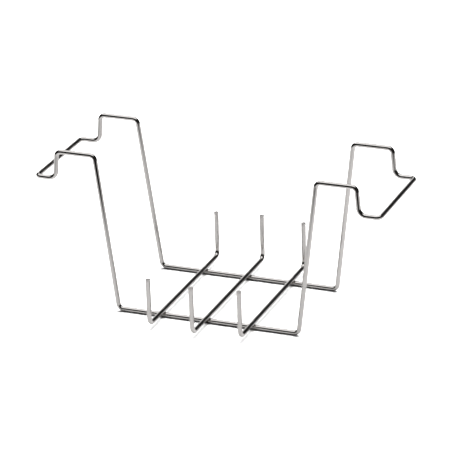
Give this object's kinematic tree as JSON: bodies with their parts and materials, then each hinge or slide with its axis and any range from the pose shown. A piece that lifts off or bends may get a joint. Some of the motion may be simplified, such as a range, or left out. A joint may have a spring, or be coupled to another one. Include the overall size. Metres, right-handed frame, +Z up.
{
  "type": "test tube rack",
  "caption": "Hanging or free-standing test tube rack bent from polished round wire, with shouldered end grips and upright prongs over two bottom bars.",
  "frame": {"origin": "centre of the footprint, on the table plane under the bottom bars", "axes": "+X along the bottom bars towards the right grip, +Y from the front bar to the rear bar, +Z up"},
  "size_m": [0.305, 0.164, 0.138],
  "materials": {
    "wire": "bright polished round steel wire, lightly drawn along its length",
    "weld": "fused steel with a dull satin skin and a faint straw tint"
  },
  "bodies": {
    "root": {"frame_wire_left": "wire", "frame_wire_right": "wire", "cradle_wire_left": "wire", "cradle_wire_middle": "wire", "cradle_wire_right": "wire", "butt_weld_front": "weld", "butt_weld_rear": "weld", "cross_weld_front_left": "weld", "cross_weld_front_middle": "weld", "cross_weld_front_right": "weld", "cross_weld_rear_left": "weld", "cross_weld_rear_middle": "weld", "cross_weld_rear_right": "weld"}
  },
  "joints": []
}
